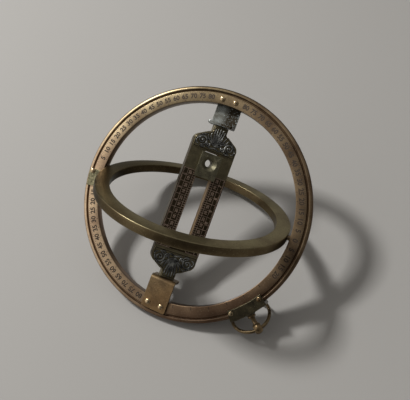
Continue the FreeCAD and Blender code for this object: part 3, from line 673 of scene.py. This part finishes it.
def ornament(x, y):
    """Height of the leaf and scroll work over one field, the same on both sides."""
    x = np.abs(x)
    high = np.zeros(x.shape)

    def add(points, widths, lift=1.0, vein=0.0):
        np.maximum(high, lift * stroke_height(x, y, points, widths, vein), out=high)

    for start, middle, end, width in (((0, 17.4), (0, 20.0), (0, 23.1), 0.36),
                                      ((0.15, 18.2), (0.75, 20.2), (0.82, 22.9), 0.33),
                                      ((0.3, 17.9), (1.5, 19.6), (1.5, 22.5), 0.33),
                                      ((0.9, 18.4), (2.4, 19.4), (2.35, 20.9), 0.30),
                                      ((1.3, 18.3), (3.0, 18.9), (3.3, 20.3), 0.30),
                                      ((0.2, 17.4), (1.2, 17.9), (1.9, 18.5), 0.34),
                                      ((0.2, 16.9), (1.0, 16.4), (2.0, 16.5), 0.30),
                                      ((3.0, 16.5), (3.9, 16.1), (4.8, 16.5), 0.28),
                                      ((5.3, 16.7), (6.1, 16.9), (6.15, 17.8), 0.28),
                                      ((5.9, 18.0), (5.9, 18.9), (5.2, 19.5), 0.27),
                                      ((4.9, 19.6), (4.2, 20.2), (3.5, 20.3), 0.26)):
        path = bent(start, middle, end)
        add(path, leaf_widths(len(path), width), 1.0, 0.45)
    big = scroll(4.35, 18.15, 1.42, 0.3, 205, -1.35)
    add(big, np.linspace(0.34, 0.2, len(big)), 1.0, 0.25)
    small = scroll(2.45, 17.35, 0.72, 0.2, 150, 1.2)
    add(small, np.linspace(0.26, 0.16, len(small)), 0.9)
    link_path = bent((2.9, 18.4), (3.1, 17.0), (4.2, 16.75))
    add(link_path, np.linspace(0.2, 0.28, len(link_path)), 0.85)
    for cx, cy, radius in ((4.35, 18.15, 0.34), (2.45, 17.35, 0.24), (0, 16.75, 0.36), (0, 22.95, 0.2)):
        add([(cx, cy), (cx, cy + 0.01)], [radius, radius])
    return high


def field_line(inset):
    """Outline of the raised field, drawn in by an inset."""
    side, neck = 6.55 - inset, 1.9 - inset
    right = [(side, 15.7 + inset), (side, 17.41)] + \
            [(side - 1.32 * t ** 1.6, 17.41 + 2.4 * t) for t in (0.25, 0.5, 0.75, 1)] + \
            [(neck + 0.9, 21.01 - inset), (neck, 21.75), (neck, 23.3 - inset)]
    return right + [(-x, y) for x, y in reversed(right)]


RELIEF, SUNK, BURIED = 0.33, 0.03, 0.08


def carved_field(step=0.075):
    """The ornament of one field: a closed slab whose foot lies under the casting's face."""
    xs, ys = np.arange(-6.6, 6.601, step), np.arange(15.62, 23.35, step)
    x, y = np.meshgrid(xs, ys)
    line = field_line(0.12)
    border, _ = near_stroke(x, y, line + line[:1], [1.0] * (len(line) + 1))
    off = 1 - border
    inside = np.zeros(x.shape, bool)
    for (x0, y0), (x1, y1) in zip(line, line[1:] + line[:1]):
        crosses = (y0 > y) != (y1 > y)
        inside ^= crosses & (x < (x1 - x0) * (y - y0) / (y1 - y0 + 1e-12) + x0)
    gate = np.clip(off / 0.16, 0, 1) * inside
    grain = np.sin(x * 7.1 + 1.3 * np.sin(y * 5.3)) * np.sin(y * 6.7 + 1.1 * np.sin(x * 4.9))
    high = ornament(x, y) * (1 + 0.08 * grain)
    rim = np.exp(-((off - 0.02) / 0.11) ** 2) * inside
    height = np.maximum(RELIEF * high * gate, 0.10 * rim) - SUNK
    top = np.stack([x, y, FIELD_FACE + height], -1).reshape(-1, 3)
    foot = np.stack([x, y, np.full(x.shape, FIELD_FACE - BURIED)], -1).reshape(-1, 3)
    wide, count = len(xs), x.size
    shown = height.reshape(-1) > 0.001 - SUNK
    faces = []
    for j in range(len(ys) - 1):
        for i in range(wide - 1):
            a = j * wide + i
            quad = (a, a + 1, a + wide + 1, a + wide)
            if shown[list(quad)].any():
                faces.append(quad)
    borders = {}
    for quad in faces:
        for pair in zip(quad, quad[1:] + quad[:1]):
            borders.pop(pair[::-1], None) or borders.update({pair: True})
    walls = [(b, a, a + count, b + count) for a, b in borders]
    feet = [tuple(c + count for c in reversed(quad)) for quad in faces]
    tones = np.clip((height.reshape(-1) + SUNK) / (RELIEF + SUNK), 0, 1)
    return np.concatenate([top, foot]), faces + walls + feet, np.concatenate([tones, 0 * tones])


DARKEST, BRIGHTEST, TONE_TOP = (0.006, 0.006, 0.005), (0.74, 0.73, 0.68), 1.9
worn_relief, shader, node = paint("worn_relief")
relief_place = node("ShaderNodeTexCoord", "Object")
relief_clouds = node("ShaderNodeTexNoise", in_Vector=relief_place, in_Scale=700.0, in_Detail=4.0)
relief_tone = node("ShaderNodeMath", operation="MULTIPLY_ADD", in_0=relief_clouds, in_1=0.9,
                   in_2=node("ShaderNodeAttribute", "Fac", attribute_name="height"))
relief_share = node("ShaderNodeMath", operation="MULTIPLY", in_0=relief_tone, in_1=1 / TONE_TOP)
relief_colour = node("ShaderNodeValToRGB", in_0=relief_share)
stops = relief_colour.node.color_ramp.elements
for spot, colour in ((0.50, DARKEST), (0.98, (0.030, 0.029, 0.027)), (1.22, (0.19, 0.195, 0.19)),
                     (1.42, (0.50, 0.51, 0.48))):
    share = stops.new(spot / TONE_TOP)
    share.color = (*colour, 1)
stops[0].color, stops[-1].color = (*DARKEST, 1), (*BRIGHTEST, 1)
relief_pits = node("ShaderNodeTexNoise", in_Vector=relief_place, in_Scale=5200.0, in_Detail=3.0)
relief_bump = node("ShaderNodeBump", in_Strength=0.6, in_Distance=0.00004, in_Height=relief_pits)
feed(shader, in_Base_Color=relief_colour, in_Metallic=0.85, in_Roughness=0.42, in_Normal=relief_bump)

field_verts, field_faces, field_heights = carved_field()
all_verts, all_faces, all_heights = [], [], []
for flip_up, flip_back in ((1, 1), (-1, 1), (1, -1), (-1, -1)):
    moved = field_verts * np.array((flip_up * flip_back, flip_up, flip_back))
    start = len(all_heights)
    all_verts += moved.tolist()
    all_faces += [tuple(start + c for c in quad) for quad in field_faces]
    all_heights += field_heights.tolist()
relief_mesh = bpy.data.meshes.new("relief")
relief_mesh.from_pydata(all_verts, [], all_faces)
relief_mesh.attributes.new("height", "FLOAT", "POINT").data.foreach_set("value", all_heights)
relief_shell = bmesh.new()
relief_shell.from_mesh(relief_mesh)
bmesh.ops.delete(relief_shell, geom=[v for v in relief_shell.verts if not v.link_faces], context="VERTS")
relief_shell.to_mesh(relief_mesh)
relief_shell.free()
settle("bridge_leaf_and_scroll", coated(relief_mesh, worn_relief), "bridge_body", BRIDGE, sharp=80)

# The rails' scale. Raised lines and plain figures, cast with the frame and rubbed to a dull
# tan: a fine ladder along the slot, tens beside it, a number for each of twelve spans, and
# short ticks along the outer edge.
scale_bronze = aged_brass("rubbed_scale", rubbed=(0.90, 0.72, 0.56), dulled=(0.72, 0.53, 0.41),
                          grimy=(0.20, 0.14, 0.11), patch=0.9, grain=0.4, edge=0.4, rough=(0.34, 0.5),
                          metal=0.75)


def ladder_tree():
    """Bars set one above another along Y."""
    given, node, closed = node_tree("ladder", Start="Vector", Step="Float", Count="Int", Bar="Vector")
    bar = node("GeometryNodeMeshCube", "Mesh", in_Size=given["Bar"])
    shift = node("ShaderNodeCombineXYZ", in_1=given["Step"])
    run = node("GeometryNodeMeshLine", in_Count=given["Count"], in_Start_Location=given["Start"],
               in_Offset=shift)
    return closed(node("GeometryNodeInstanceOnPoints", in_Points=run, in_Instance=bar))


LADDER = ladder_tree()
SCALE_LOW, SCALE_HIGH, SCALE_RISE = -14.9, 8.9, 0.045
SLOT_LINE, TENS_LINE, NUMBER_LINE, TICK_LINE, EDGE_LINE = 2.6, 3.42, 5.2, 6.22, 6.55
SPANS, FINE, TICKS = 6, 6, 9
span = (SCALE_HIGH - SCALE_LOW) / SPANS


def raised(x, y, wide, tall, step=0.0, count=1):
    """Raised bars on the front face, one above another."""
    return grown(LADDER, bpy.data.meshes.new("seed"), Start=(x, y, BRIDGE_FACE), Step=step, Count=count,
                 Bar=(wide, tall, 2 * SCALE_RISE), Finish=scale_bronze)


def rail_figure(text, x, y, size):
    """A raised number on a rail, turned to be read from the side."""
    mesh = figure(text, size, SCALE_RISE, scale_bronze)
    mesh.transform(Matrix.Translation((x, y, BRIDGE_FACE)) @ Matrix.Rotation(math.radians(90), 4, "Z"))
    return mesh


scale_parts = []
for side in (-1, 1):
    for x, thick in ((SLOT_LINE, 0.13), (TENS_LINE, 0.1), (NUMBER_LINE, 0.1), (EDGE_LINE, 0.13)):
        scale_parts.append(raised(side * x, (SCALE_LOW + SCALE_HIGH) / 2, thick, SCALE_HIGH - SCALE_LOW))
    for x0, x1, first, step, count, thick in (
            (SLOT_LINE, TENS_LINE, span / FINE, span / FINE, SPANS * FINE - 1, 0.13),
            (SLOT_LINE, EDGE_LINE, 0, span, SPANS + 1, 0.14),
            (TENS_LINE, NUMBER_LINE, span / 2, span, SPANS, 0.08),
            (TICK_LINE, EDGE_LINE, span / TICKS, span / TICKS, SPANS * TICKS - 1, 0.12)):
        scale_parts.append(raised(side * (x0 + x1) / 2, SCALE_LOW + first, x1 - x0, thick, step, count))
    for i in range(SPANS):
        low = SCALE_LOW + i * span
        number = i + 1 if side < 0 else 2 * SPANS - i
        scale_parts.append(rail_figure(str(number), side * 5.70, low + span / 2, 1.2))
        scale_parts.append(rail_figure("10", side * 4.3, low + span * 0.27, 1.15))
        scale_parts.append(rail_figure("20", side * 4.3, low + span * 0.75, 1.15))
settle("bridge_rail_scale", joined(scale_parts, scale_bronze), "bridge_body", BRIDGE)

# Slider. A front plate with a tongue in the slot and a back plate, held by four flush rivets,
# with the countersunk pinhole that lets the sun through, and two bowed leaves that rub the rails.
slider_brass = aged_brass("slider_brass", rubbed=(0.50, 0.45, 0.33), dulled=(0.23, 0.215, 0.14),
                          grimy=(0.14, 0.13, 0.088), patch=1.6, grain=0.3, edge=0.8, scratches=0.3,
                          rough=(0.42, 0.54), metal=0.85)
leaf_brass = aged_brass("leaf_spring_brass", rubbed=(0.8, 0.66, 0.4), dulled=(0.42, 0.33, 0.18),
                        grimy=(0.2, 0.15, 0.08), patch=1.4, grain=0.25, edge=0.4)


def drilled(mesh, tool):
    """A mesh with the shape of a tool cut out of it."""
    work, drill = stand("work", mesh), stand("drill", tool)
    cut = work.modifiers.new("drilled", "BOOLEAN")
    cut.operation = "DIFFERENCE"
    cut.object = drill
    cut.solver = "EXACT"
    result = as_mesh(work)
    bpy.data.objects.remove(drill)
    return result


PINHOLE_UP, PINHOLE, DISH, SINK, SLIDER_FRONT, SLIDER_BACK = 12.11, 1.12, 2.28, 0.9, 2.16, -2.47
sink_points = [(0, SLIDER_BACK - 0.6), (DISH + 0.5, SLIDER_BACK - 0.6), (DISH, SLIDER_BACK),
               (PINHOLE, SLIDER_BACK + SINK), (PINHOLE, SLIDER_FRONT - SINK), (DISH, SLIDER_FRONT),
               (DISH + 0.5, SLIDER_FRONT + 0.6), (0, SLIDER_FRONT + 0.6)]
for name, node_name in (("slider_front_plate", "slider_front"), ("slider_back_plate", "slider_back")):
    sink = turned(sink_points, 56)
    sink.transform(BRIDGE @ Matrix.Translation((0, PINHOLE_UP, 0)))
    settle(name, drilled(eased(node_name, 0.07, slider_brass), sink), "slider_body", STAY,
           [node_name], sharp=30)
coated(frame["nodes"]["slider_rivets"].data, slider_brass)
coated(frame["nodes"]["slider_leaves"].data, leaf_brass)

# Saddle. A clip filed from brass bar that rides the rim, coloured very dark, with a round boss for
# the swivel. Four domed pins, rubbed bright, hold its cheeks in the grooves.
saddle_brass = aged_brass("saddle_brass", rubbed=(0.40, 0.32, 0.19), dulled=(0.085, 0.072, 0.042),
                          grimy=(0.035, 0.030, 0.020), patch=2.2, grain=0.3, edge=0.6, scratches=0.25,
                          rough=(0.3, 0.42), metal=0.88, pits=0.02)
settle("saddle_clip", eased("suspension_saddle", 0.1, saddle_brass), "saddle_body",
       STAY, ["suspension_saddle"], sharp=None)
SADDLE_ANGLE, PIN_ANGLE, PIN_CIRCLE, CHEEK = -41.5, 7.65, 33.6, 2.5
# Painted shade: the right-hand pair of pins is painted darker than the left.
guide_brass = aged_brass("guide_pin_brass", rubbed=(0.90, 0.78, 0.52), dulled=(0.46, 0.37, 0.22),
                         grimy=(0.16, 0.12, 0.07), patch=0.7, grain=0.2, edge=0.3, scratches=0.4,
                         rough=(0.2, 0.34), painted_light_drifts=(((1, 0, 0), 23, 27, (0.45, 0.36, 0.28)),))
pin_shape = [(0, 1.02), (0.28, 1.02), (0.28, 1.6), (0.4, 1.6), (0.4, CHEEK)] + \
            head_points(0.75, 0.45, CHEEK, 1)
pin_spots = [(PIN_CIRCLE * math.cos(a), PIN_CIRCLE * math.sin(a), 0)
             for a in (math.radians(SADDLE_ANGLE + side * PIN_ANGLE) for side in (-1, 1))]
front_pins = riveted(turned(pin_shape), pin_spots, 0.05, 6, guide_brass)
back_pins = riveted(turned([(r, -z) for r, z in pin_shape]), pin_spots, 0.05, 7, guide_brass)
settle("saddle_pins", joined([front_pins, back_pins], guide_brass), "saddle_body", UPRIGHT,
       ["guide_pins"])

# Swivel. Turned in one piece from brass rod: a stem that turns in the boss, a bead, a waisted
# neck and a ball, cross-drilled with a flared eye for the ring. Its edges are rubbed gold.
swivel_brass = aged_brass("swivel_brass", rubbed=(0.92, 0.70, 0.40), dulled=(0.27, 0.19, 0.10),
                          grimy=(0.08, 0.056, 0.032), patch=1.5, grain=0.2, edge=0.9, rough=(0.24, 0.4))
SWIVEL_TURN, BALL, BALL_RADIUS, NECK, EYE = 14.5, 40.3, 1.6, 0.72, 0.9
BEAD, BEAD_RADIUS, BEAD_HALF = 36.65, 1.02, 0.34
neck_angle = math.asin(NECK / BALL_RADIUS)
swivel_points = [(0, 35.51), (0.85, 35.51), (0.85, 35.79), (0.55, 35.81), (0.55, 36.3), (1.12, 36.3)] + \
                [(BEAD_RADIUS + 0.23 * math.sin(a), BEAD - BEAD_HALF * math.cos(a))
                 for a in (math.pi * i / 8 for i in range(1, 8))] + \
                [(0.98, 37.0), (0.84, 37.06), (0.70, 37.25), (0.63, 37.7), (0.62, 38.2), (0.66, 38.6)] + \
                [(BALL_RADIUS * math.sin(a), BALL - BALL_RADIUS * math.cos(a))
                 for a in np.linspace(neck_angle, math.pi - 0.08, 22)] + [(0, BALL + BALL_RADIUS)]
half_eye = [(EYE, 0.42), (1.02, 0.8), (1.32, BALL_RADIUS), (2.0, 2.2), (0, 2.2)]
eye_points = [(r, -z) for r, z in reversed(half_eye)] + half_eye
stem = coated(turned(swivel_points, 64), swivel_brass)
eye = turned(eye_points, 48)
eye.transform(Matrix.Translation((0, 0, BALL)) @ Matrix.Rotation(math.radians(90), 4, "X"))
ON_RIM = DIAL @ Matrix.Rotation(math.radians(-SADDLE_ANGLE), 4, "Y") @ \
         Matrix.Rotation(math.radians(-SWIVEL_TURN), 4, "X") @ \
         Matrix(((0, 0, 1, 0), (1, 0, 0, 0), (0, 1, 0, 0), (0, 0, 0, 1)))
settle("swivel_turned", drilled(stem, eye), "swivel_body", ON_RIM, ["swivel"], sharp=42)
coated(frame["nodes"]["swivel_washer"].data, pin_brass)

# Suspension ring. Round brass wire bent round a mandrel and brazed where its ends meet, dark,
# with rubbed gold in its fine scratches.
wire_brass = aged_brass("ring_wire", rubbed=(0.95, 0.72, 0.40), dulled=(0.26, 0.19, 0.10),
                        grimy=(0.085, 0.06, 0.034), patch=2.2, grain=0.25, edge=0.5, rough=(0.24, 0.4))
WIRE, HANG_RADIUS = 0.5, 5.6
BRAZED = Vector((-0.35, -1, 0))
hang = frame["record"]["mounts"][0]
wire_outline = [(WIRE * math.cos(a), WIRE * math.sin(a)) for a in (2 * math.pi * i / 24 for i in range(24))]
wire_mesh = grown(RINGS, outline_mesh(wire_outline), Radius=HANG_RADIUS, Stations=144, Unevenness=0.03,
                  Seed=5, Finish=wire_brass)
for corner in wire_mesh.vertices:
    spot = Vector((corner.co.x, corner.co.y, 0))
    middle = spot.normalized() * HANG_RADIUS
    gap = math.degrees(spot.angle(BRAZED))
    corner.co = middle + (corner.co - middle) * (1 - 0.16 * math.exp(-(gap / 1.1) ** 2))
hang_turn = Vector(hang["axis"]).to_track_quat("Z", "Y").to_matrix().to_4x4()
HANGING = Matrix.Translation(hang["pos_m"]) @ hang_turn @ Matrix.Scale(0.001, 4)
settle("suspension_wire_ring", wire_mesh, "suspension_ring_body", HANGING,
       ["suspension_ring"])

# Floor, lamp, room and camera. A plain pale sheet of paper, one small lamp high on the left that
# throws the crossed shadows, the faint light of a window and ceiling, and the photograph's view.
PAPER, DISTANCE = (0.405, 0.398, 0.385), (0.345, 0.335, 0.315)
floor_mesh = bpy.data.meshes.new("floor")
floor_mesh.from_pydata([(-3, -3, 0), (3, -3, 0), (3, 3, 0), (-3, 3, 0)], [], [(0, 1, 2, 3)])
paper, shader, node = paint("pale_paper")
feed(shader, in_Base_Color=(*PAPER, 1), in_Roughness=0.8)
far_off = node("ShaderNodeVectorMath", 1, operation="LENGTH", in_0=node("ShaderNodeTexCoord", "Object"))
fade = node("ShaderNodeMapRange", interpolation_type="SMOOTHSTEP", in_0=far_off, in_1=0.12, in_2=0.7)
seen_far = node("ShaderNodeMath", operation="MULTIPLY", in_0=fade,
                in_1=node("ShaderNodeLightPath", "Is Camera Ray"))
plain = node("ShaderNodeEmission", in_Color=(*DISTANCE, 1), in_Strength=1.0)
table = node("ShaderNodeMixShader", in_0=seen_far, in_1=shader.outputs[0], in_2=plain)
feed(paper.node_tree.nodes["Material Output"], in_Surface=table)
stand("floor", coated(floor_mesh, paper))

LAMP_AWAY, LAMP_AZIMUTH, LAMP_ELEVATION = 0.65, math.radians(175), math.radians(50)
to_lamp = Vector((math.cos(LAMP_AZIMUTH) * math.cos(LAMP_ELEVATION),
                  math.sin(LAMP_AZIMUTH) * math.cos(LAMP_ELEVATION), math.sin(LAMP_ELEVATION)))
light = bpy.data.lights.new("key_lamp", "AREA")
light.size, light.energy, light.color = 0.09, 3.4, (1.0, 0.985, 0.96)
lamp = stand("key_lamp", light)
lamp.location = DIAL.translation + to_lamp * LAMP_AWAY
lamp.rotation_euler = to_lamp.to_track_quat("Z", "Y").to_euler()

world = bpy.data.worlds.new("room")
bpy.context.scene.world = world
world.use_nodes = True
air = maker(world.node_tree)
direction = air("ShaderNodeTexCoord", "Generated")


def patch_of_light(towards, levels):
    """Light from one side of the room: its level by the cosine from a direction."""
    facing = air("ShaderNodeVectorMath", 1, operation="DOT_PRODUCT", in_0=direction,
                 in_1=Vector(towards).normalized())
    level = air("ShaderNodeFloatCurve", in_Value=facing)
    mapping = level.node.mapping
    points = mapping.curves[0].points
    points[0].location, points[1].location = levels[0], levels[-1]
    for spot, height in levels[1:-1]:
        points.new(spot, height)
    mapping.update()
    return level


window = patch_of_light((-0.85, -0.40, 0.35),
                        ((0.0, 0.0), (0.55, 0.02), (0.66, 0.14), (0.80, 0.52), (1.0, 0.80)))
ceiling = patch_of_light((-0.10, 0.35, 0.93),
                         ((0.0, 0.05), (0.5, 0.06), (0.72, 0.16), (0.9, 0.32), (1.0, 0.38)))
level = air("ShaderNodeMath", operation="ADD", in_0=window, in_1=ceiling)
tint = air("ShaderNodeMix", 2, data_type="RGBA", clamp_factor=False, in_0=level, in_6=(0, 0, 0, 1),
           in_7=(1.0, 0.96, 0.91, 1))
seen = blend(air, air("ShaderNodeLightPath", "Is Camera Ray"), tint, DISTANCE)
feed(world.node_tree.nodes["Background"], in_Color=seen, in_Strength=1.0)

view = bpy.data.cameras.new("camera")
view.sensor_width = 36
view.lens = 45.27
view.shift_x = -0.0171
view.shift_y = -0.0976
view.clip_start = 0.005
axes = Matrix(((0.91102834, 0.41156002, -0.02542991), (-0.31561891, 0.73568388, 0.59929503),
               (0.26535454, -0.53794859, 0.80012433))).transposed()
camera = stand("camera", view)
camera.matrix_world = Matrix.Translation((0.04178139, -0.07117012, 0.14953647)) @ axes.to_4x4()
bpy.context.scene.camera = camera
bpy.context.scene.view_settings.view_transform = "Standard"
